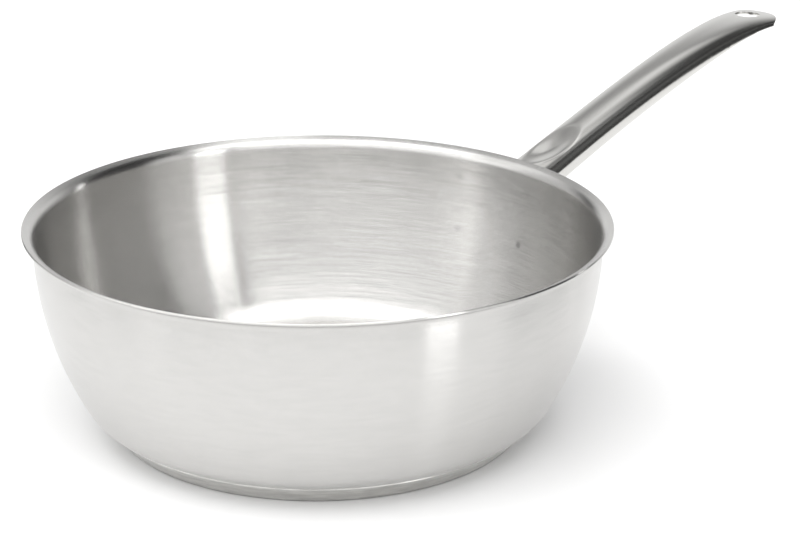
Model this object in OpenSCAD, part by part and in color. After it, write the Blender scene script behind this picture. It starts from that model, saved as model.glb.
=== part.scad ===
// Saucier pan, 24 cm: a deep-drawn stainless bowl with a pouring rim, a capped
// heat-spreading base and a hollow pressed handle on a spot-welded plate.
// Millimetres. +Z is up, the origin is the middle of the underside on the
// bowl's axis, and the handle points along +X.

/* [Bowl] */
// Diameter over the edge of the pouring rim
rim_d = 251; // [200:1:302]
// Height of the rim above the table
rim_h = 91; // [76:1:110]
// Thickness of the drawn sheet
wall_t = 1; // [0.8:0.1:1.4]
// Outside radius of the long curve of the side wall
side_r = 146; // [122:1:176]
// How far below the rim the wall stands upright
upright_drop = 4; // [3:0.5:6]
// Outside radius between the wall and the floor
corner_r = 17; // [14:0.5:21]
// Outside radius of the flare under the pouring rim
flare_r = 7.2; // [6:0.1:9]
// Angle that the rim's edge leans out from upright
flare_angle = 68; // [55:1:75]

/* [Base] */
// Thickness of the whole base below the bowl
base_t = 7; // [5.5:0.1:8.5]
// Height at which the cap's edge meets the bowl
cap_edge_h = 8.9; // [7.5:0.1:10.5]
// How far the flat underside lies inside the cap's edge
foot_inset = 8; // [6:0.5:10]
// Thickness of the steel cap
cap_t = 0.6; // [0.4:0.1:0.8]
// How far the cap's edge stands out from the bowl
cap_lip = 0.4; // [0.2:0.1:0.8]
// Rounding between the underside and the cap's side
foot_r = 2; // [1:0.5:3]

/* [Handle] */
// Reach of the handle from the bowl's wall to its tip
handle_l = 222; // [185:1:268]
// How far the handle's root lies below the rim
root_drop = 24.5; // [24:0.5:27]
// Rise of the handle's middle line from root to tip
handle_rise = 51; // [42.5:0.5:62]
// Slope of the handle where it leaves the bowl
root_slope = 18; // [14.5:0.5:22]
// Slope of the handle at its tip
tip_slope = -4.5; // [-7:0.5:-2]
// Thickness of the pressed sheet
handle_t = 1.4; // [1:0.1:1.8]
// Width of the handle at its root
root_w = 27; // [24:0.5:32]
// Width of the handle at its tip
tip_w = 29; // [25:0.5:34]
// Length of the rounded end of the tongue
tip_round = 13; // [11:0.5:15]
// Radius of the hanging hole
hole_r = 6.4; // [5.3:0.1:7.7]
// Distance of the hanging hole from the tip
hole_from_tip = 14; // [13:0.5:17]
// Distance from the tip at which the underside starts to open
mouth_start = 50; // [42:1:60]
// Distance from the tip at which only the tongue is left
mouth_end = 27; // [24:1:32]

/* [Thumb hollow] */
// Distance of the hollow's near end from the bowl's wall
hollow_start = 26; // [22:1:31]
// Length of the hollow
hollow_l = 37; // [31:1:44]
// Half the width of the hollow
hollow_w = 9; // [7.5:0.5:10.5]
// Depth of the hollow
hollow_d = 2.6; // [2:0.1:3]

/* [Handle plate] */
// Thickness of the plate between handle and wall
plate_t = 1.5; // [1.2:0.1:1.8]
// Width of the plate
plate_w = 50; // [42:1:60]
// Height of the plate
plate_h = 34; // [30:0.5:36]
// Rounding of the plate's corners
plate_corner = 8; // [6:0.5:10]
// Leg of the weld fillet round the handle's root
weld_leg = 2.6; // [2:0.1:3.2]

/* [Hidden] */
$fn = 96;

steel = "gainsboro";
polished_steel = "silver";
aluminium = "darkgray";

// Reach of the cutters past what they cut
past = 20;

// The bowl's outline is made of three arcs: the corner, the long side and the
// flare. Their centres serve every skin of the wall, and a skin that lies t
// inside the outer one only changes their radii. Neighbouring arcs cross by a
// hair instead of only touching, so that their joints are sound edges.
hair = 0.003;
floor_z = base_t;
flare_c = [rim_d / 2 + flare_r * cos(flare_angle), rim_h - (flare_r + wall_t) * sin(flare_angle)];
side_c = [
    flare_c[0] - sqrt(pow(side_r + flare_r - hair, 2) - pow(flare_c[1] - (rim_h - upright_drop), 2)),
    rim_h - upright_drop
];
corner_c = [
    side_c[0] + sqrt(pow(side_r - corner_r + hair, 2) - pow(floor_z + corner_r - side_c[1], 2)),
    floor_z + corner_r
];
to_corner = (corner_c - side_c) / norm(corner_c - side_c);
to_flare = (flare_c - side_c) / norm(flare_c - side_c);
to_rim = [-cos(flare_angle), sin(flare_angle)];

// Height of the joint between the side's arc and the flare
flare_joint_z = (side_c + side_r * to_flare)[1];

// Edge of the rim on the skin t inside
function rim_edge(t) = flare_c + (flare_r + t) * to_rim;

// Radius of the side wall's skin that lies t inside the outer one, at a height
function side_radius(z, t) = side_c[0] + sqrt(pow(side_r - t, 2) - pow(z - side_c[1], 2));

// Radius of the corner's outer skin at a height
function corner_radius(z) = corner_c[0] + sqrt(pow(corner_r, 2) - pow(z - corner_c[1], 2));

// Base: the cap's edge sits against the bowl's corner
cap_edge_r = corner_radius(cap_edge_h) + cap_lip;
foot_flat_r = cap_edge_r - foot_inset;
cap_lean = atan2(cap_edge_h, foot_inset);

// Handle: the middle line is a cubic curve in the XZ plane
root_z = rim_h - root_drop;
root_x = side_radius(root_z, 0);
root_pull = 60.5;
tip_pull = 55;
spine = [
    [root_x, root_z],
    [root_x + root_pull * cos(root_slope), root_z + root_pull * sin(root_slope)],
    [root_x + handle_l - tip_pull * cos(tip_slope), root_z + handle_rise - tip_pull * sin(tip_slope)],
    [root_x + handle_l, root_z + handle_rise]
];

// Half width, and half heights above and below the middle line, as ordinates
// of cubic curves from the root to the tip
half_width = [root_w / 2, 10, 13, tip_w / 2 + 0.6];
half_above = [9.9, 5.3, 8.2, 3.7];
half_below = [9.3, 6.4, 12.8, -5.9];
least_below = handle_t + 0.4;

// Roundness of the section, which grows squarer towards the tip: 2 is an ellipse
function squareness(u) = 2.4 + 0.7 * u * u;

// Stations along the handle, close together at the weld and the thumb hollow
station_first = -0.07;
weld_stations = [for (u = [station_first : 0.011 : 0.05]) u];
body_stations = [for (u = [0.07 : 0.02 : 0.33]) u];
grip_stations = [for (u = [0.36 : 0.04 : 0.76]) u];
tip_stations = [for (u = [0.79 : 0.025 : 1.04]) u];
stations = concat(weld_stations, body_stations, grip_stations, tip_stations);
ring_count = 32;

function cubic(c, u) =
    pow(1 - u, 3) * c[0] + 3 * u * pow(1 - u, 2) * c[1] + 3 * u * u * (1 - u) * c[2] + pow(u, 3) * c[3];

function cubic_slope(c, u) =
    3 * (pow(1 - u, 2) * (c[1] - c[0]) + 2 * u * (1 - u) * (c[2] - c[1]) + u * u * (c[3] - c[2]));

// Place along the curve, from 0 to 1, of a point at a distance from the tip
function place_from_tip(d, low = 0.5, high = 1, left = 24) =
    left == 0 ? (low + high) / 2
    : cubic(spine, (low + high) / 2)[0] < root_x + handle_l - d
        ? place_from_tip(d, (low + high) / 2, high, left - 1)
        : place_from_tip(d, low, (low + high) / 2, left - 1);

function power(base, exponent) = sign(base) * pow(abs(base), exponent);

function lower_height(u) = max(cubic(half_below, u), least_below);

// Depth of the thumb hollow, an oval dish, at a distance from the wall and
// from the middle
function hollow_depth(s, v) =
    let (off = norm([2 * (s - hollow_start) / hollow_l - 1, v / hollow_w]))
    off >= 1 ? 0 : hollow_d * pow(1 - off * off, 1.4);

// One point of the section at a station: angle a round it, inset t from the
// outer skin, and swell past the outer skin where there is a weld
function section_point(u, a, t, swell = 0) =
    let (
        bend = 2 / squareness(u),
        half = cubic(half_width, u) - t + swell,
        height = (sin(a) > 0 ? cubic(half_above, u) : lower_height(u)) - t + swell,
        v = half * power(cos(a), bend),
        centre = cubic(spine, u),
        slope = cubic_slope(spine, u) / norm(cubic_slope(spine, u)),
        dent = sin(a) > 0 ? hollow_depth(centre[0] - root_x, v) : 0,
        w = height * power(sin(a), bend) - dent
    )
    [centre[0] - slope[1] * w, v, centre[1] + slope[0] * w];

// Distance of a point outside the plate's outer face
function off_plate(p) = norm([p[0], p[1]]) - side_radius(p[2], -plate_t);

// Swell of the weld fillet at a point of the outer skin
function weld_swell(p) =
    let (d = min(max(off_plate(p), 0), weld_leg))
    0.2 + weld_leg * pow(1 - d / weld_leg, 1.5);

// Closed ring-shaped loft between an outer and an inner set of rings
module ring_loft(outer, inner) {
    rings = len(outer);
    n = len(outer[0]);
    points = concat([for (r = outer) each r], [for (r = inner) each r]);
    start = rings * n;
    outside = [
        for (i = [0 : rings - 2], k = [0 : n - 1])
            let (a = i * n + k, b = i * n + (k + 1) % n, c = b + n, d = a + n)
            each [[a, b, c], [a, c, d]]
    ];
    inside = [for (f = outside) [f[0] + start, f[2] + start, f[1] + start]];
    ends = [
        for (k = [0 : n - 1])
            let (a = k, b = (k + 1) % n, last = (rings - 1) * n)
            each [
                [a, a + start, b + start], [a, b + start, b],
                [last + b, last + b + start, last + a + start], [last + b, last + a + start, last + a]
            ]
    ];
    polyhedron(points, concat(outside, inside, ends), convexity = 6);
}

// Angles run clockwise seen from the tip, so that the faces point outwards
function ring(u, t) = [for (k = [0 : ring_count - 1]) section_point(u, -360 * k / ring_count, t)];

function weld_ring(u) = [
    for (k = [0 : ring_count - 1])
        let (a = -360 * k / ring_count)
        section_point(u, a, 0, weld_swell(section_point(u, a, 0)))
];

// Half outline of all that lies inside the skin t inside the bowl's outer one.
// With a rise it reaches that far above the rim, for cutting.
module bowl_outline(t, rise = 0) {
    top = rim_edge(t)[1] + rise;
    difference() {
        union() {
            polygon([[0, floor_z + t], [corner_c[0], floor_z + t], corner_c, [0, corner_c[1]]]);
            translate(corner_c) circle(corner_r - t);
            intersection() {
                translate(side_c) circle(side_r - t, $fn = 720);
                polygon([
                    [0, corner_c[1]], corner_c, side_c + (side_r + past) * to_corner,
                    [side_c[0] + side_r + past, flare_joint_z], [0, flare_joint_z]
                ]);
            }
            polygon([[0, flare_joint_z], [flare_c[0], flare_joint_z], [flare_c[0], top], [0, top]]);
        }
        translate(flare_c) circle(flare_r + t);
    }
}

module bowl() {
    color(steel)
        rotate_extrude()
            difference() {
                bowl_outline(0, 1);
                bowl_outline(wall_t, 2 * wall_t);
                polygon([
                    flare_c, flare_c + past * to_rim,
                    flare_c + [past, past], flare_c + [past, 0]
                ]);
            }
}

// Half outline of the capped base, t inside the cap's outer skin
module base_outline(t) {
    lean = [cos(cap_lean), sin(cap_lean)];
    edge = [cap_edge_r, cap_edge_h] + t * [-lean[1], lean[0]];
    foot = [edge[0] - (edge[1] - t) / tan(cap_lean), t];
    run = (foot_r - min(t, foot_r / 2)) * tan(cap_lean / 2);
    round_r = foot_r - min(t, foot_r / 2);
    difference() {
        polygon([
            [0, t], foot - [run, 0], foot + run * lean,
            [edge[0] - (edge[1] - cap_edge_h) / tan(cap_lean), cap_edge_h], [0, cap_edge_h]
        ]);
        bowl_outline(0);
    }
    intersection() {
        translate(foot + [-run, round_r]) circle(round_r);
        polygon([foot - [run, 0], foot, foot + run * lean]);
    }
}

module base_core() {
    color(aluminium)
        rotate_extrude() base_outline(cap_t);
}

module base_cap() {
    color(steel)
        rotate_extrude()
            difference() {
                base_outline(0);
                base_outline(cap_t);
            }
}

// All that lies inside the bowl's skin t inside the outer one
module bowl_solid(t) {
    rotate_extrude($fn = 360) bowl_outline(t);
}

module plate_outline() {
    for (flip = [0, 1])
        square([plate_w - 2 * plate_corner * flip, plate_h - 2 * plate_corner * (1 - flip)], center = true);
    for (y = [-1, 1], z = [-1, 1])
        translate([y * (plate_w / 2 - plate_corner), z * (plate_h / 2 - plate_corner)])
            circle(plate_corner);
}

// Plate drawn to the wall's curve, carried by four spot welds
module handle_plate() {
    color(steel)
        intersection() {
            difference() {
                bowl_solid(-plate_t);
                bowl_solid(0);
            }
            translate([root_x / 2, 0, root_z])
                rotate([90, 0, 90])
                    linear_extrude(root_x) plate_outline();
        }
}

// Fillet of weld between the handle's root and the plate
module handle_weld() {
    color(steel)
        difference() {
            ring_loft([for (u = weld_stations) weld_ring(u)], [for (u = weld_stations) ring(u, 0)]);
            bowl_solid(-plate_t);
        }
}

// Rounded end of the tongue in plan, as all that lies beyond it
module tip_cutter() {
    half = tip_w / 2 + past;
    tip_x = root_x + handle_l;
    end_w = cubic(half_width, place_from_tip(tip_round)) + 0.2;
    outline = [
        for (a = [-90 : 7.5 : 90])
            [
                tip_x - tip_round + tip_round * cos(a),
                end_w * sin(a)
            ]
    ];
    translate([0, 0, root_z])
        linear_extrude(handle_rise + 2 * past)
            polygon(concat(
                outline,
                [
                    [tip_x - tip_round, half], [tip_x + past, half],
                    [tip_x + past, -half], [tip_x - tip_round, -half]
                ]
            ));
}

// Opening of the underside: it climbs from the bottom of the tube to its
// widest line, and follows that line to the tip
module mouth_cutter() {
    first = place_from_tip(mouth_start);
    last = place_from_tip(mouth_end);
    low = spine[0][1];
    climb = [
        for (k = [0 : 8])
            let (u = first + (last - first) * k / 8)
            cubic(spine, u) - [0, (lower_height(u) + 0.1) * pow(1 - k / 8, 0.8)]
    ];
    along = [
        for (k = [1 : 8])
            cubic(spine, last + (1.03 - last) * k / 8)
    ];
    translate([0, tip_w, 0])
        rotate([90, 0, 0])
            linear_extrude(2 * tip_w)
                polygon(concat(
                    [[climb[0][0], low]],
                    climb,
                    along,
                    [[along[7][0] + past, along[7][1]], [along[7][0] + past, low]]
                ));
}

// Hanging hole, square to the tongue's sheet
module hanging_hole() {
    u = place_from_tip(hole_from_tip);
    middle = section_point(u, 90, handle_t / 2);
    along = section_point(u + 0.02, 90, handle_t / 2) - section_point(u - 0.02, 90, handle_t / 2);
    translate(middle)
        rotate([0, -atan2(along[2], along[0]), 0])
            cylinder(r = hole_r, h = past, center = true);
}

// Pressed handle: a hollow oval tube with a thumb hollow, opening into a tongue
module handle() {
    color(polished_steel)
        difference() {
            ring_loft([for (u = stations) ring(u, 0)], [for (u = stations) ring(u, handle_t)]);
            bowl_solid(-plate_t);
            mouth_cutter();
            tip_cutter();
            hanging_hole();
        }
}

bowl();
base_core();
base_cap();
handle_plate();
handle_weld();
handle();
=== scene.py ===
import math
import bmesh
import bpy
from mathutils import Matrix, Vector


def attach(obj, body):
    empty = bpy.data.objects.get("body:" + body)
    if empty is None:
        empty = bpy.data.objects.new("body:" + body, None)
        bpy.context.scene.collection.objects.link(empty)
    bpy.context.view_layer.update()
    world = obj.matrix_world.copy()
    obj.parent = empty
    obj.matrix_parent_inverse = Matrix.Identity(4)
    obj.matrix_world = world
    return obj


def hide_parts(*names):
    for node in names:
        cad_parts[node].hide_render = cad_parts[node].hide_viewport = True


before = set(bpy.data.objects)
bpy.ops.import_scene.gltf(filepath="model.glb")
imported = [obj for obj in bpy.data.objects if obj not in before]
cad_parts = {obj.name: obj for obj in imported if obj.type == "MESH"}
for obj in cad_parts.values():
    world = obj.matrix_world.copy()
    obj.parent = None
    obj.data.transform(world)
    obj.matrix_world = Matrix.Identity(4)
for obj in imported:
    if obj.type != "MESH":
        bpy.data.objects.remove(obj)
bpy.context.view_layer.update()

MM = 0.001

# Sizes in millimetres, as the part's source has them
RIM_R = 125.5
RIM_H = 91.0
SHEET = 1.0
SIDE_R = 146.0
UPRIGHT_Z = 87.0
CORNER_R = 17.0
FLARE_R = 7.2
FLARE_ANGLE = math.radians(68)
BASE_Z = 7.0
CAP_EDGE_Z = 8.9
FOOT_INSET = 8.0
CAP_SHEET = 0.6
CAP_LIP = 0.4
FOOT_ROUND = 2.0
HANDLE_L = 222.0
ROOT_Z = 66.5
HANDLE_RISE = 51.0
ROOT_SLOPE = math.radians(18)
TIP_SLOPE = math.radians(-4.5)
HANDLE_SHEET = 1.4
TIP_ROUND = 13.0
HOLE_R = 6.4
HOLE_FROM_TIP = 14.0
MOUTH_START = 50.0
MOUTH_END = 27.0
HOLLOW_START = 26.0
HOLLOW_L = 37.0
HOLLOW_W = 9.0
HOLLOW_D = 2.6
PLATE_SHEET = 1.5
PLATE_W = 50.0
PLATE_H = 34.0
PLATE_CORNER = 8.0
WELD_LEG = 2.6

# Sizes that only the visible pieces have, also in millimetres
RIM_BEND_R = 3.5
RIM_EDGE_ROUND = 0.28
CAP_BROW_R = 0.45
HANDLE_EDGE_ROUND = 0.3
DIMPLE_R = 3.0
DIMPLE_DEPTH = 0.45
WELD_MARK_R = 2.2
WELD_SAG = 0.55
RIPPLE_PITCH = 1.5
RIPPLE_DEPTH = 0.16
CLOSE = 0.002
ROUND_STEPS = 288


def steel_hex(code):
    """A colour from its sRGB hex value, turned to linear."""
    parts = [int(code[i:i + 2], 16) / 255 for i in (1, 3, 5)]
    return tuple(p / 12.92 if p < 0.04045 else ((p + 0.055) / 1.055) ** 2.4 for p in parts) + (1.0,)


def add(tree, kind, inputs=None, **settings):
    """Adds a node with its settings, and links or sets its inputs."""
    made = tree.nodes.new(kind)
    for name, value in settings.items():
        setattr(made, name, value)
    for key, value in (inputs or {}).items():
        if isinstance(value, bpy.types.NodeSocket):
            tree.links.new(value, made.inputs[key])
        else:
            made.inputs[key].default_value = value
    return made


def mesh_piece(name, points, faces):
    """A mesh object from points in millimetres."""
    mesh = bpy.data.meshes.new(name)
    mesh.from_pydata([Vector(p) * MM for p in points], [], faces)
    piece = bpy.data.objects.new(name, mesh)
    bpy.context.scene.collection.objects.link(piece)
    return piece


def settled(piece, *finish):
    """Turns a piece and its modifiers into one plain, smooth mesh with its finishes."""
    evaluated = piece.evaluated_get(bpy.context.evaluated_depsgraph_get())
    plain = bpy.data.meshes.new_from_object(evaluated)
    old = piece.data
    piece.modifiers.clear()
    piece.data = plain
    plain.name = old.name + "_mesh"
    plain.materials.clear()
    for material in finish:
        plain.materials.append(material)
    for face in plain.polygons:
        face.use_smooth = True
    return piece


def closed_outwards(piece):
    """Merges doubles and turns every face outwards."""
    shell = bmesh.new()
    shell.from_mesh(piece.data)
    bmesh.ops.remove_doubles(shell, verts=shell.verts, dist=CLOSE * MM)
    bmesh.ops.recalc_face_normals(shell, faces=shell.faces)
    shell.to_mesh(piece.data)
    shell.free()
    return piece


# The bowl's three arcs, as in the part's source: they cross by a hair, so that each meets the next
HAIR = 0.003
flare_c = Vector((RIM_R + FLARE_R * math.cos(FLARE_ANGLE), RIM_H - (FLARE_R + SHEET) * math.sin(FLARE_ANGLE)))
side_c = Vector((
    flare_c.x - math.sqrt((SIDE_R + FLARE_R - HAIR) ** 2 - (flare_c.y - UPRIGHT_Z) ** 2),
    UPRIGHT_Z,
))
corner_c = Vector((
    side_c.x + math.sqrt((SIDE_R - CORNER_R + HAIR) ** 2 - (BASE_Z + CORNER_R - UPRIGHT_Z) ** 2),
    BASE_Z + CORNER_R,
))
to_corner = math.atan2(corner_c.y - side_c.y, corner_c.x - side_c.x)
to_flare = math.atan2(flare_c.y - side_c.y, flare_c.x - side_c.x)

# The real rim is folded out more tightly than one arc: a close bend between two straight tangents,
# which keeps the arc's ends
lip_way = math.pi - FLARE_ANGLE
bend_half = (math.pi + to_flare - lip_way) / 2
fold_way = lip_way + bend_half
fold = flare_c + Vector((math.cos(fold_way), math.sin(fold_way))) * (FLARE_R / math.cos(bend_half))
bend_c = fold.lerp(flare_c, RIM_BEND_R / FLARE_R)


def wall_radius(z, inset):
    """Radius of the side wall's skin at a height, that far inside the outer skin."""
    return side_c.x + math.sqrt((SIDE_R - inset) ** 2 - (z - side_c.y) ** 2)


def arc(centre, radius, start, end, steps):
    """Points of an arc, both ends included."""
    turns = [start + (end - start) * i / steps for i in range(steps + 1)]
    return [(centre[0] + radius * math.cos(a), centre[1] + radius * math.sin(a)) for a in turns]


def skin(inset):
    """One skin of the bowl, from the axis to the rim, as radius and height."""
    floor_steps, corner_steps, side_steps, bend_steps = 12, 14, 40, 16
    floor = [(corner_c.x * i / floor_steps, BASE_Z + inset) for i in range(floor_steps)]
    corner = arc(corner_c, CORNER_R - inset, math.radians(-90), to_corner, corner_steps)
    side = arc(side_c, SIDE_R - inset, to_corner, to_flare, side_steps)
    bend = arc(bend_c, RIM_BEND_R + inset, math.pi + to_flare, lip_way, bend_steps)
    lip_r = FLARE_R + inset
    lip = (flare_c.x + lip_r * math.cos(lip_way), flare_c.y + lip_r * math.sin(lip_way))
    return floor + corner + side[1:] + bend + [lip]


def bowl_profile():
    """Half profile of the drawn sheet, with its cut edge broken by a small rounding."""
    out = Vector((math.cos(lip_way), math.sin(lip_way)))
    along = Vector((-out.y, out.x))
    broken = RIM_EDGE_ROUND
    steps = 4
    edge = []
    for radius, first, last in ((FLARE_R + broken, 180, 270), (FLARE_R + SHEET - broken, 270, 360)):
        centre = flare_c + out * radius + along * broken
        for i in range(steps + 1):
            a = math.radians(first + (last - first) * i / steps)
            edge.append(tuple(centre + (out * math.cos(a) + along * math.sin(a)) * broken))
    outer, inner = skin(0), skin(SHEET)
    for side in (outer, inner):
        side[-1] = tuple(Vector(side[-1]) + along * broken)
    return outer + edge[1:-1] + inner[::-1]


def cap_profile():
    """Half profile of the pressed cap: its outer skin, its rounded edge and its inner skin."""
    flat_steps, turn_steps, side_steps, brow_steps = 12, 10, 6, 8
    corner_r = corner_c.x + math.sqrt(CORNER_R ** 2 - (CAP_EDGE_Z - corner_c.y) ** 2)
    edge = Vector((corner_r + CAP_LIP, CAP_EDGE_Z))
    lean = math.atan2(CAP_EDGE_Z, FOOT_INSET)
    uphill = Vector((math.cos(lean), math.sin(lean)))
    inward = Vector((-math.sin(lean), math.cos(lean)))
    flat_r = edge.x - FOOT_INSET - FOOT_ROUND * math.tan(lean / 2)
    flat = [(flat_r * i / flat_steps, 0.0) for i in range(flat_steps)]
    turn = arc((flat_r, FOOT_ROUND), FOOT_ROUND, math.radians(-90), lean - math.radians(90), turn_steps)
    side_start = Vector(turn[-1])
    side_end = edge - uphill * (CAP_BROW_R * (1 + math.cos(lean)) / math.sin(lean))
    side = [tuple(side_start.lerp(side_end, i / side_steps)) for i in range(1, side_steps + 1)]
    brow_c = side_end + inward * CAP_BROW_R
    brow = arc(brow_c, CAP_BROW_R, lean - math.radians(90), math.radians(80), brow_steps)[1:]
    lap = Vector((corner_r, CAP_EDGE_Z)) - Vector((1.3, 1.1))
    heel = side_end + inward * CAP_SHEET - Vector((1.4, 1.6))
    toe = side_start + inward * CAP_SHEET
    inner = [tuple(lap), tuple(heel), tuple(toe), (flat_r, CAP_SHEET), (0.0, CAP_SHEET)]
    return flat + turn + side + brow + inner


def turning_tree():
    """Geometry Nodes that turn a half profile round the Z axis."""
    tree = bpy.data.node_groups.new("turned on the axis", "GeometryNodeTree")
    tree.interface.new_socket("Profile", in_out="INPUT", socket_type="NodeSocketGeometry")
    tree.interface.new_socket("Profile Points", in_out="INPUT", socket_type="NodeSocketInt")
    tree.interface.new_socket("Steps Round", in_out="INPUT", socket_type="NodeSocketInt")
    tree.interface.new_socket("Finish", in_out="INPUT", socket_type="NodeSocketMaterial")
    tree.interface.new_socket("Turned", in_out="OUTPUT", socket_type="NodeSocketGeometry")
    given = add(tree, "NodeGroupInput").outputs
    columns = add(tree, "ShaderNodeMath", {0: given["Steps Round"], 1: 1.0}, operation="ADD").outputs[0]
    grid = add(tree, "GeometryNodeMeshGrid", {
        "Size X": 1.0, "Size Y": 1.0, "Vertices X": columns, "Vertices Y": given["Profile Points"],
    }).outputs["Mesh"]
    index = add(tree, "GeometryNodeInputIndex").outputs[0]
    row = add(tree, "ShaderNodeMath", {0: index, 1: given["Profile Points"]}, operation="MODULO").outputs[0]
    share = add(tree, "ShaderNodeMath", {0: index, 1: given["Profile Points"]}, operation="DIVIDE").outputs[0]
    column = add(tree, "ShaderNodeMath", {0: share}, operation="FLOOR").outputs[0]
    turns = add(tree, "ShaderNodeMath", {0: column, 1: given["Steps Round"]}, operation="DIVIDE").outputs[0]
    angle = add(tree, "ShaderNodeMath", {0: turns, 1: math.tau}, operation="MULTIPLY").outputs[0]
    place = add(tree, "GeometryNodeInputPosition").outputs[0]
    point = add(tree, "GeometryNodeSampleIndex", {
        "Geometry": given["Profile"], "Value": place, "Index": row,
    }, data_type="FLOAT_VECTOR", domain="POINT").outputs["Value"]
    turned = add(tree, "ShaderNodeVectorRotate", {
        "Vector": point, "Angle": angle,
    }, rotation_type="Z_AXIS").outputs[0]
    shaped = add(tree, "GeometryNodeSetPosition", {"Geometry": grid, "Position": turned}).outputs[0]
    merged = add(tree, "GeometryNodeMergeByDistance", {"Geometry": shaped, "Distance": CLOSE * MM}).outputs[0]
    real = add(tree, "GeometryNodeRealizeInstances", {"Geometry": merged}).outputs[0]
    done = add(tree, "GeometryNodeSetMaterial", {"Geometry": real, "Material": given["Finish"]}).outputs[0]
    add(tree, "NodeGroupOutput", {"Turned": done})
    return tree


def turned_piece(name, profile, tree, finish):
    """A piece of revolution, made by the turning tree from its half profile."""
    edges = [(i, i + 1) for i in range(len(profile) - 1)]
    mesh = bpy.data.meshes.new(name)
    mesh.from_pydata([(r * MM, 0.0, z * MM) for r, z in profile], edges, [])
    piece = bpy.data.objects.new(name, mesh)
    bpy.context.scene.collection.objects.link(piece)
    turning = piece.modifiers.new("turning", "NODES")
    turning.node_group = tree
    sockets = {s.name: s.identifier for s in tree.interface.items_tree if s.in_out == "INPUT"}
    turning[sockets["Profile Points"]] = len(profile)
    turning[sockets["Steps Round"]] = ROUND_STEPS
    turning[sockets["Finish"]] = finish
    settled(piece, finish)
    return closed_outwards(piece)


# The handle's middle line and section, as in the part's source. The section's half width, its height
# above the line and its depth below it each run along a cubic from root to tip
ROOT_REACH = 60.5
TIP_REACH = 55.0
root_x = wall_radius(ROOT_Z, 0)
tip_x = root_x + HANDLE_L
tip_z = ROOT_Z + HANDLE_RISE
spine = (
    Vector((root_x, ROOT_Z)),
    Vector((root_x + ROOT_REACH * math.cos(ROOT_SLOPE), ROOT_Z + ROOT_REACH * math.sin(ROOT_SLOPE))),
    Vector((tip_x - TIP_REACH * math.cos(TIP_SLOPE), tip_z - TIP_REACH * math.sin(TIP_SLOPE))),
    Vector((tip_x, tip_z)),
)
half_width = (13.5, 10.0, 13.0, 15.1)
half_above = (9.9, 5.3, 8.2, 3.7)
half_below = (9.3, 6.4, 12.8, -5.9)
least_below = HANDLE_SHEET + 0.4


def cubic(c, u):
    """A place on a cubic curve of four values."""
    return (1 - u) ** 3 * c[0] + 3 * u * (1 - u) ** 2 * c[1] + 3 * u * u * (1 - u) * c[2] + u ** 3 * c[3]


def cubic_slope(c, u):
    """The curve's slope at that place."""
    return 3 * ((1 - u) ** 2 * (c[1] - c[0]) + 2 * u * (1 - u) * (c[2] - c[1]) + u * u * (c[3] - c[2]))


def halved(too_low, low, high):
    """Where a test changes from true to false, found by halving."""
    for _ in range(30):
        middle = (low + high) / 2
        if too_low(middle):
            low = middle
        else:
            high = middle
    return (low + high) / 2


def place_from_tip(distance):
    """Place along the handle, from 0 at the wall to 1 at the tip, that far short of the tip."""
    return halved(lambda u: cubic(spine, u).x < tip_x - distance, 0.5, 1.0)


def power(base, exponent):
    """A power that keeps its base's sign."""
    return math.copysign(abs(base) ** exponent, base)


def hollow_depth(along, across):
    """Depth of the thumb hollow, an oval dish."""
    off = math.hypot(2 * (along - HOLLOW_START) / HOLLOW_L - 1, across / HOLLOW_W)
    return HOLLOW_D * (1 - off * off) ** 1.4 if off < 1 else 0.0


def handle_point(u, angle):
    """A point of the outer skin, at a place along the handle and an angle round it.

    The section is an oval with full shoulders, squarer towards the tip."""
    side, up = math.cos(angle), math.sin(angle)
    bend = 2 / (2.4 + 0.7 * u * u)
    height = cubic(half_above, u) if up > 0 else max(cubic(half_below, u), least_below)
    across = cubic(half_width, u) * power(side, bend)
    centre = cubic(spine, u)
    slope = cubic_slope(spine, u).normalized()
    lift = height * power(up, bend)
    if up > 0:
        lift -= hollow_depth(centre.x - root_x, across)
    return Vector((centre.x - slope.y * lift, across, centre.y + slope.x * lift))


def off_plate(point):
    """How far a point lies outside the plate's face."""
    return math.hypot(point.x, point.y) - wall_radius(point.z, -PLATE_SHEET)


mouth_first = place_from_tip(MOUTH_START)
mouth_last = place_from_tip(MOUTH_END)


def lowest_angle(u):
    """Angle of the sheet's lower edge: straight down on the closed tube, level on the tongue."""
    share = min(max((u - mouth_first) / (mouth_last - mouth_first), 0.0), 1.0)
    return -math.asin((1 - share) ** 0.92)


def angle_at(u, share):
    """Angle round the section, for a share of the way from one lower edge to the other."""
    low = lowest_angle(u)
    return low + (math.pi - 2 * low) * share


def past_tip(u, share):
    """How far a point of the tongue lies past the rounded end."""
    point = handle_point(u, angle_at(u, share))
    end_w = cubic(half_width, place_from_tip(TIP_ROUND)) + 0.2
    inside = max(1 - (point.y / end_w) ** 2, 0.0)
    return point.x - (tip_x - TIP_ROUND + TIP_ROUND * inside ** 0.5)


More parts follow.
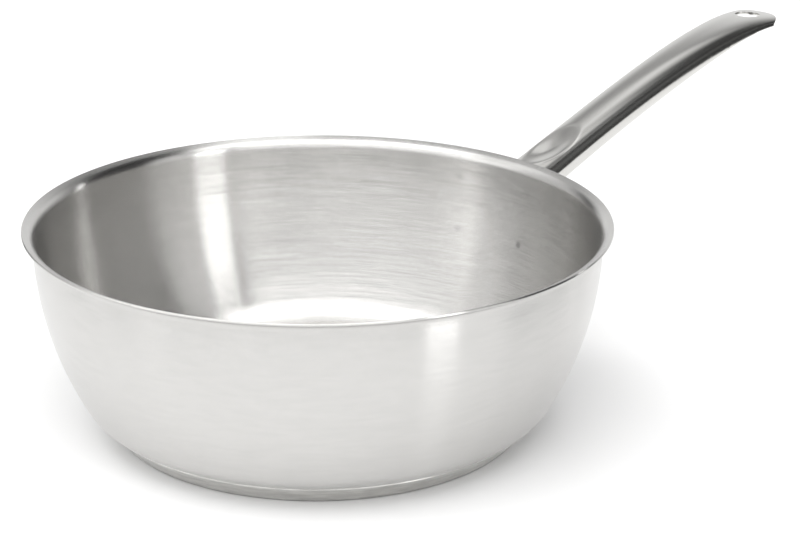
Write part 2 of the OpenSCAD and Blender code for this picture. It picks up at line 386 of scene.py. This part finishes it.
def handle_shell():
    """The pressed tube's outer skin as one grid, open along its seam where the mouth is.

    Its first rows run on to the plate, its last ones to the rounded end."""
    columns, root_rows, body_rows, tip_rows = 112, 8, 110, 56
    root_end, tip_start = 0.08, 0.86
    sunk = 0.05
    shares = [j / columns for j in range(columns + 1)]
    starts = [
        halved(lambda u: off_plate(handle_point(u, angle_at(u, share))) < -sunk, -root_end, root_end)
        for share in shares
    ]
    ends = [halved(lambda u: past_tip(u, share) < 0, tip_start, 1.08) for share in shares]
    points = []
    for i in range(root_rows):
        points += [
            handle_point(start + (root_end - start) * i / root_rows, angle_at(0.5, share))
            for start, share in zip(starts, shares)
        ]
    for i in range(body_rows + 1):
        u = root_end + (tip_start - root_end) * i / body_rows
        points += [handle_point(u, angle_at(u, share)) for share in shares]
    for i in range(1, tip_rows + 1):
        for end, share in zip(ends, shares):
            u = tip_start + (end - tip_start) * i / tip_rows
            points.append(handle_point(u, angle_at(u, share)))
    row = columns + 1
    faces = [
        (r * row + c, (r + 1) * row + c, (r + 1) * row + c + 1, r * row + c + 1)
        for r in range(len(points) // row - 1) for c in range(columns)
    ]
    return points, faces


def hole_punch():
    """A cylinder square to the tongue, where the hanging hole is."""
    u = place_from_tip(HOLE_FROM_TIP)
    top, beside = math.pi / 2, 0.02
    along = handle_point(u + beside, top) - handle_point(u - beside, top)
    punch = bpy.data.objects.new("hole_punch", bpy.data.meshes.new("hole_punch"))
    bpy.context.scene.collection.objects.link(punch)
    shape = bmesh.new()
    tilt = Matrix.Rotation(-math.atan2(along.z, along.x), 4, "Y")
    place = Matrix.Translation(handle_point(u, top) * MM) @ tilt
    bmesh.ops.create_cone(
        shape, cap_ends=True, segments=96, matrix=place,
        radius1=HOLE_R * MM, radius2=HOLE_R * MM, depth=20 * MM,
    )
    shape.to_mesh(punch.data)
    shape.free()
    return punch


def make_handle(finish):
    """The handle: the skin gets its sheet thickness, the punched hole and softly broken edges."""
    piece = mesh_piece("pressed_handle", *handle_shell())
    closed_outwards(piece)
    wall = piece.modifiers.new("sheet", "SOLIDIFY")
    wall.thickness = HANDLE_SHEET * MM
    wall.offset = -1
    wall.use_even_offset = True
    punch = hole_punch()
    punched = piece.modifiers.new("hole", "BOOLEAN")
    punched.operation = "DIFFERENCE"
    punched.solver = "EXACT"
    punched.object = punch
    soft = piece.modifiers.new("broken edges", "BEVEL")
    soft.width = HANDLE_EDGE_ROUND * MM
    soft.segments = 3
    soft.limit_method = "ANGLE"
    soft.angle_limit = math.radians(50)
    settled(piece, finish)
    bpy.data.objects.remove(punch)
    return piece


# Spot welds between plate and wall, as distance across and height
SPOT_WELDS = ((-20.5, 78.0), (20.5, 78.0), (-18.2, 53.5), (18.2, 53.5))


def plate_rim(angle):
    """Outline of the plate, a rectangle with round corners, at an angle from its middle."""
    w, h = PLATE_W / 2 - PLATE_CORNER, PLATE_H / 2 - PLATE_CORNER
    way = Vector((math.cos(angle), math.sin(angle)))

    def inside(d):
        return math.hypot(max(abs(way.x * d) - w, 0), max(abs(way.y * d) - h, 0)) < PLATE_CORNER

    return way * halved(inside, 0.0, PLATE_W)


def plate_point(across, height, out):
    """A point over the wall's outer skin, that far outside it."""
    radius = wall_radius(height, -out)
    return Vector((math.sqrt(radius ** 2 - across ** 2), across, height))


def dimple(across, height):
    """Depth of the dimples that the spot welder pressed into the plate."""
    shares = [math.hypot(across - y, height - z) / DIMPLE_R for y, z in SPOT_WELDS]
    return sum(DIMPLE_DEPTH * max(1 - share ** 2, 0.0) ** 2 for share in shares)


def make_plate(finish):
    """The curved plate, with a dimple at each spot weld and a broken edge."""
    round_steps, rings = 160, 30
    sunk = -0.02
    points = [plate_point(0, ROOT_Z, PLATE_SHEET)]
    levels = [(i / rings, PLATE_SHEET) for i in range(1, rings)]
    levels += [(0.985, PLATE_SHEET), (0.995, PLATE_SHEET - 0.12), (1.0, PLATE_SHEET - 0.45), (1.0, sunk)]
    for share, out in levels:
        for k in range(round_steps):
            rim = plate_rim(math.tau * k / round_steps) * share
            height = ROOT_Z + rim.y
            dip = dimple(rim.x, height) if out == PLATE_SHEET else 0.0
            points.append(plate_point(rim.x, height, out - dip))
    points.append(plate_point(0, ROOT_Z, sunk))
    following = [(k, (k + 1) % round_steps) for k in range(round_steps)]
    faces = [(0, 1 + k, 1 + after) for k, after in following]
    for r in range(len(levels) - 1):
        first = 1 + r * round_steps
        faces += [
            (first + k, first + k + round_steps, first + after + round_steps, first + after)
            for k, after in following
        ]
    last = 1 + (len(levels) - 1) * round_steps
    faces += [(last + k, len(points) - 1, last + after) for k, after in following]
    piece = mesh_piece("wall_plate", points, faces)
    closed_outwards(piece)
    return settled(piece, finish)


def make_weld(finish):
    """The fillet round the root: a closed ring whose hollow face carries the ripples of the pool."""
    steps, face_steps = 720, 8
    outwards = Vector((1, 0, 0))
    points = []
    run = 0.0
    before = None
    for k in range(steps):
        angle = math.tau * k / steps
        root = handle_point(halved(lambda u: off_plate(handle_point(u, angle)) < 0, -0.08, 0.08), angle)
        upper = handle_point(
            halved(lambda u: off_plate(handle_point(u, angle)) < WELD_LEG, -0.08, 0.12), angle,
        )
        away = Vector((0, root.y, root.z - ROOT_Z)).normalized()
        lower = root + away * WELD_LEG
        lower.x = math.sqrt(wall_radius(lower.z, -PLATE_SHEET) ** 2 - lower.y ** 2)
        run += (root - before).length if before else 0.0
        before = root
        ripple = RIPPLE_DEPTH * abs(math.sin(math.pi * run / RIPPLE_PITCH)) ** 0.7
        out = (away + outwards).normalized()
        for i in range(face_steps + 1):
            share = i / face_steps
            points.append(lower.lerp(upper, share) - out * ((WELD_SAG - ripple) * math.sin(math.pi * share)))
        points.append(root - (outwards + away) * 0.2)
    n = face_steps + 2
    faces = [
        (k * n + i, ((k + 1) % steps) * n + i, ((k + 1) % steps) * n + (i + 1) % n, k * n + (i + 1) % n)
        for k in range(steps) for i in range(n)
    ]
    piece = mesh_piece("root_weld", points, faces)
    closed_outwards(piece)
    return settled(piece, finish)


def axis_frame(tree):
    """Radius, height and unit circumferential direction of a point, from Object coordinates."""
    place = add(tree, "ShaderNodeTexCoord").outputs["Object"]
    split = add(tree, "ShaderNodeSeparateXYZ", {0: place}).outputs
    level = add(tree, "ShaderNodeCombineXYZ", {0: split[0], 1: split[1]}).outputs[0]
    radius = add(tree, "ShaderNodeVectorMath", {0: level}, operation="LENGTH").outputs["Value"]
    unit = add(tree, "ShaderNodeVectorMath", {0: level}, operation="NORMALIZE").outputs[0]
    round_way = add(tree, "ShaderNodeVectorRotate", {
        "Vector": unit, "Angle": math.pi / 2,
    }, rotation_type="Z_AXIS").outputs[0]
    return place, radius, split[2], unit, round_way


def brush_lines(tree, meridian, unit, width_mm, slowness):
    """Noise drawn out round the axis: each groove has its width in real millimetres along the profile.

    A smaller slowness draws the grooves longer."""
    fineness = 1 / (width_mm * MM)
    across = add(tree, "ShaderNodeMath", {0: meridian, 1: fineness}, operation="MULTIPLY").outputs[0]
    lifted = add(tree, "ShaderNodeCombineXYZ", {2: across}).outputs[0]
    slow = add(tree, "ShaderNodeVectorMath", {0: unit, "Scale": slowness}, operation="SCALE").outputs[0]
    place = add(tree, "ShaderNodeVectorMath", {0: slow, 1: lifted}, operation="ADD").outputs[0]
    return add(tree, "ShaderNodeTexNoise", {"Vector": place, "Scale": 1.0, "Detail": 2.0}).outputs["Fac"]


def brushed_round(name, colour, roughness, anisotropy, line_tilt, mottle, marks=(), painted_foot_shade=1.0):
    """Stainless steel brushed round the axis: fine grooves that draw every highlight upright."""
    material = bpy.data.materials.new(name)
    material.use_nodes = True
    tree = material.node_tree
    steel = tree.nodes["Principled BSDF"]
    place, radius, height, unit, round_way = axis_frame(tree)
    meridian = add(tree, "ShaderNodeMath", {0: radius, 1: height}, operation="ADD").outputs[0]

    # The belt's grooves are 0.025 mm wide, and tilt the surface up and down but not sideways. They are too
    # fine to show one by one, so some lines are drawn 0.3 mm wide, as coarse as they need to be to show
    groove_tilt = 0.55
    grooves = brush_lines(tree, meridian, unit, 0.025, 3.0)
    lines = brush_lines(tree, meridian, unit, 0.3, 1.0)
    facing = add(tree, "ShaderNodeNewGeometry").outputs["Normal"]
    upward = add(tree, "ShaderNodeVectorMath", {
        0: facing, 1: round_way,
    }, operation="CROSS_PRODUCT").outputs[0]
    groove = add(tree, "ShaderNodeMapRange", {
        "Value": grooves, "To Min": -groove_tilt, "To Max": groove_tilt,
    }, clamp=False).outputs[0]
    tilt = add(tree, "ShaderNodeMath", {
        0: lines, 1: line_tilt, 2: groove,
    }, operation="MULTIPLY_ADD").outputs[0]
    level = add(tree, "ShaderNodeMath", {0: tilt, 1: line_tilt / 2}, operation="SUBTRACT").outputs[0]
    leaned = add(tree, "ShaderNodeVectorMath", {0: upward, "Scale": level}, operation="SCALE").outputs[0]
    brushed = add(tree, "ShaderNodeVectorMath", {0: facing, 1: leaned}, operation="ADD").outputs[0]
    unit_normal = add(tree, "ShaderNodeVectorMath", {0: brushed}, operation="NORMALIZE").outputs[0]
    tree.links.new(unit_normal, steel.inputs["Normal"])
    tree.links.new(round_way, steel.inputs["Tangent"])

    # Wide, short smudges where the belt pressed more or less, then painted shade: a dark line at the foot
    # that stands in for the contact shadow where the cap sits on the table
    smudges = brush_lines(tree, meridian, unit, 3.0, 9.0)
    shade = add(tree, "ShaderNodeMapRange", {
        "Value": smudges, "From Min": 0.35, "From Max": 0.65, "To Min": 1 - mottle, "To Max": 1.0,
    }).outputs[0]
    # Painted shade: the colour is darkened over the lowest 0.75 mm, standing in for the contact shadow on the
    # table
    painted_foot_ramp = add(tree, "ShaderNodeMapRange", {
        "Value": height, "From Min": 0.2 * MM, "From Max": 0.75 * MM, "To Min": painted_foot_shade, "To Max": 1.0,
    }).outputs[0]
    shade = add(tree, "ShaderNodeMath", {0: shade, 1: painted_foot_ramp}, operation="MULTIPLY").outputs[0]
    for spot, depth in marks:
        off = add(tree, "ShaderNodeVectorMath", {
            0: place, 1: Vector(spot) * MM,
        }, operation="DISTANCE").outputs["Value"]
        kept = add(tree, "ShaderNodeMapRange", {
            "Value": off,
            "From Min": 0.3 * WELD_MARK_R * MM, "From Max": WELD_MARK_R * MM,
            "To Min": 1 - depth, "To Max": 1.0,
        }, interpolation_type="SMOOTHSTEP").outputs[0]
        shade = add(tree, "ShaderNodeMath", {0: shade, 1: kept}, operation="MULTIPLY").outputs[0]
    tinted = add(tree, "ShaderNodeVectorMath", {
        0: steel_hex(colour)[:3], "Scale": shade,
    }, operation="SCALE").outputs[0]
    tree.links.new(tinted, steel.inputs["Base Color"])
    steel.inputs["Metallic"].default_value = 1.0
    steel.inputs["Roughness"].default_value = roughness
    steel.inputs["Anisotropic"].default_value = anisotropy
    steel.inputs["Anisotropic Rotation"].default_value = 0.25
    return material


def plain_metal(name, colour, roughness, grain_mm, depth_mm):
    """Metal without a brushing round the axis: a grain drawn out along the pan, of a real width and depth."""
    material = bpy.data.materials.new(name)
    material.use_nodes = True
    tree = material.node_tree
    metal = tree.nodes["Principled BSDF"]
    place = add(tree, "ShaderNodeTexCoord").outputs["Object"]
    fineness = 1 / (grain_mm * MM)
    drawn_out = 0.08
    stretched = add(tree, "ShaderNodeMapping", {
        "Vector": place, "Scale": (drawn_out * fineness, fineness, fineness),
    }).outputs[0]
    grain = add(tree, "ShaderNodeTexNoise", {"Vector": stretched, "Scale": 1.0, "Detail": 2.0}).outputs["Fac"]
    bump = add(tree, "ShaderNodeBump", {"Strength": 1.0, "Distance": depth_mm * MM, "Height": grain})
    tree.links.new(bump.outputs[0], metal.inputs["Normal"])
    metal.inputs["Base Color"].default_value = steel_hex(colour)
    metal.inputs["Metallic"].default_value = 1.0
    metal.inputs["Roughness"].default_value = roughness
    return material


# The heat of each spot weld leaves a faint dull spot on the inside of the bowl
weld_marks = [
    ((math.sqrt(wall_radius(z, SHEET) ** 2 - y ** 2), y, z), depth)
    for (y, z), depth in zip(SPOT_WELDS, (0.12, 0.15, 0.3, 0.1))
]
# 18/10 stainless sheet, belt-brushed while it turned: pale grey, with each light drawn out into a soft
# upright streak that stays sharp at its sides, and faint lines round the bowl
bowl_steel = brushed_round("circle-brushed stainless sheet", "#C9C8C6", 0.24, 1.0, 0.12, 0.03, weld_marks)
# Magnetic stainless, satin from the same belt: duller and cloudier than the bowl, with painted shade at its
# foot for its contact shadow on the table
cap_steel = brushed_round("satin stainless cap", "#CDCCC9", 0.3, 0.5, 0.3, 0.2, painted_foot_shade=0.3)
# Stainless polished on a cloth wheel: nearly a mirror, with clear light and dark bands along the tube
handle_steel = plain_metal("wheel-polished stainless tube", "#CBCAC7", 0.19, 0.5, 0.001)
# Stainless as it leaves the press: an even grey sheen without a clear reflection
plate_steel = plain_metal("plain pressed stainless plate", "#C6C4C1", 0.32, 0.4, 0.003)
# Weld metal cleaned with a wire brush: duller and a little browner than the sheet beside it
weld_steel = plain_metal("brushed weld bead", "#BEBBB5", 0.38, 0.3, 0.01)
# Rolled aluminium: cooler and softer in its gloss than steel, with the mill's grain
core_metal = plain_metal("rolled aluminium disc", "#D4D5D7", 0.45, 0.8, 0.01)

turning = turning_tree()
bowl = turned_piece("drawn_bowl", bowl_profile(), turning, bowl_steel)
cap = turned_piece("pressed_cap", cap_profile(), turning, cap_steel)
handle = make_handle(handle_steel)
plate = make_plate(plate_steel)
weld = make_weld(weld_steel)
for piece, replaced in (
    (bowl, "bowl"), (cap, "base_cap"), (handle, "handle"), (plate, "handle_plate"), (weld, "handle_weld"),
):
    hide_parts(replaced)
    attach(piece, "root")
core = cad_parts["base_core"]
for slot in core.material_slots:
    slot.material = core_metal


# The camera's heading, clockwise from the Y axis, and the side of the pan that it stands on, from the X axis
HEADING = 48.853
CAMERA_SIDE = -90 - HEADING


def white_floor():
    """White table: lit plainly, it keeps the shadow, and the camera and the metal see it near white."""
    turn = Matrix.Rotation(math.radians(-HEADING), 4, "Z")
    side, front, back = 600, -1000, 1600
    sheet = ((-side, front), (side, front), (side, back), (-side, back))
    corners = [turn @ Vector((x, y, 0)) for x, y in sheet]
    floor = mesh_piece("table", corners, [(0, 1, 2, 3)])
    paper = bpy.data.materials.new("white paper sweep")
    paper.use_nodes = True
    tree = paper.node_tree
    out = tree.nodes["Material Output"]
    tree.nodes.remove(tree.nodes["Principled BSDF"])
    lit = add(tree, "ShaderNodeBsdfDiffuse", {"Color": (0.8, 0.8, 0.8, 1.0)}).outputs[0]
    rays = add(tree, "ShaderNodeLightPath").outputs
    seen_lift, mirrored_lift = 0.04, 0.11
    mirrored = add(tree, "ShaderNodeMath", {
        0: rays["Is Glossy Ray"], 1: mirrored_lift,
    }, operation="MULTIPLY").outputs[0]
    lift = add(tree, "ShaderNodeMath", {
        0: rays["Is Camera Ray"], 1: seen_lift, 2: mirrored,
    }, operation="MULTIPLY_ADD").outputs[0]
    glow = add(tree, "ShaderNodeEmission", {"Strength": lift}).outputs[0]
    both = add(tree, "ShaderNodeAddShader", {0: lit, 1: glow}).outputs[0]
    tree.links.new(both, out.inputs["Surface"])
    floor.data.materials.append(paper)
    return floor


# The studio round the pan: soft white cards, in degrees. Each has its azimuth from the camera's side,
# positive to the camera's right, its half width and softness, its low and high edge and their softness,
# and its brightness. Steel shows the room round it, so the cards stand where its light and dark bands are
STUDIO_CARDS = {
    "overhead bank": (-13, 100, 14, 54, 97, 4, 4.1),
    "high front": (-53, 94, 2, 32, 56, 12, 1.55),
    "middle front": (-65, 37, 22, 20, 28, 2, 1.2),
    "low front": (-20, 66, 16, 6, 20, 5, 2.55),
    "horizon": (-48, 77, 2, -20, 12, 1, 0.2),
    "key strip": (49.5, 6.5, 0.5, -12, 28, 1, 4.0),
    "right fill": (67, 12, 6, -20, 42, 1, 0.97),
    "side strip": (118, 2.3, 0.8, 5, 17, 1, 4.1),
    "low right": (96, 10, 5, 10, 32, 2, 0.05),
    "backdrop": (166, 36, 16, -10, 32, 17, 0.92),
    "high back": (177, 6, 26, 40, 72, 2, 1.7),
    "back bank": (125, 52, 9, 66, 78, 6, 2.2),
    "back left": (202, 9, 3, -17, 75, 2, 0.35),
    "left strip": (-65, 7, 8, -8, 26, 2, 0.55),
    "left wall": (-108, 26, 11, -9, 28, 3, 0.7),
    "front gap": (-19, 13, 8, 6, 24, 3, 0.22),
}
ROOM_LIGHT = 0.04


def studio_world():
    """A studio of white cards, which lights the pan and the table; the camera sees plain white."""
    world = bpy.data.worlds.new("studio")
    bpy.context.scene.world = world
    world.use_nodes = True
    tree = world.node_tree
    way = add(tree, "ShaderNodeTexCoord").outputs["Generated"]
    split = add(tree, "ShaderNodeSeparateXYZ", {0: way}).outputs
    turned = add(tree, "ShaderNodeMath", {0: split[1], 1: split[0]}, operation="ARCTAN2").outputs[0]
    raised = add(tree, "ShaderNodeMath", {0: split[2]}, operation="ARCSINE").outputs[0]
    light = ROOM_LIGHT
    for centre, half, soft, low, high, edge, brightness in STUDIO_CARDS.values():
        off = add(tree, "ShaderNodeMath", {
            0: turned, 1: math.radians(CAMERA_SIDE + centre),
        }, operation="SUBTRACT").outputs[0]
        near = add(tree, "ShaderNodeMath", {0: off, 1: math.pi, 2: -math.pi}, operation="WRAP").outputs[0]
        beside = add(tree, "ShaderNodeMath", {0: near}, operation="ABSOLUTE").outputs[0]
        above = add(tree, "ShaderNodeMath", {
            0: raised, 1: math.radians((low + high) / 2),
        }, operation="SUBTRACT").outputs[0]
        tall = add(tree, "ShaderNodeMath", {0: above}, operation="ABSOLUTE").outputs[0]
        across = add(tree, "ShaderNodeMapRange", {
            "Value": beside,
            "From Min": math.radians(half + soft), "From Max": math.radians(half - soft),
            "To Min": 0.0, "To Max": brightness,
        }, interpolation_type="SMOOTHSTEP").outputs[0]
        half_tall = (high - low) / 2
        upright = add(tree, "ShaderNodeMapRange", {
            "Value": tall,
            "From Min": math.radians(half_tall + edge), "From Max": math.radians(half_tall - edge),
        }, interpolation_type="SMOOTHSTEP").outputs[0]
        light = add(tree, "ShaderNodeMath", {
            0: across, 1: upright, 2: light,
        }, operation="MULTIPLY_ADD").outputs[0]
    rays = add(tree, "ShaderNodeLightPath").outputs
    shown = add(tree, "ShaderNodeMix", {0: rays["Is Camera Ray"], 2: light, 3: 1.0}).outputs[0]
    tree.links.new(shown, tree.nodes["Background"].inputs["Strength"])
    tree.nodes["Background"].inputs["Color"].default_value = (1.0, 1.0, 1.0, 1.0)
    return world


def photo_camera():
    """Camera at the photograph's place: a long lens, looking down on the bowl from the side."""
    lens, pitch, roll = 102.76, 19.684, 0.338
    place = Vector((-671.62, -632.92, 399.23))
    data = bpy.data.cameras.new("photo camera")
    data.sensor_width = 36
    data.lens = lens
    data.clip_start = 0.05
    data.clip_end = 50
    camera = bpy.data.objects.new("photo camera", data)
    bpy.context.scene.collection.objects.link(camera)
    headed = Matrix.Rotation(math.radians(-HEADING), 4, "Z")
    pitched = Matrix.Rotation(math.radians(90 - pitch), 4, "X")
    rolled = Matrix.Rotation(math.radians(roll), 4, "Z")
    camera.matrix_world = Matrix.Translation(place * MM) @ headed @ pitched @ rolled
    bpy.context.scene.camera = camera
    return camera


white_floor()
studio_world()
photo_camera()
bpy.context.scene.view_settings.view_transform = "Standard"
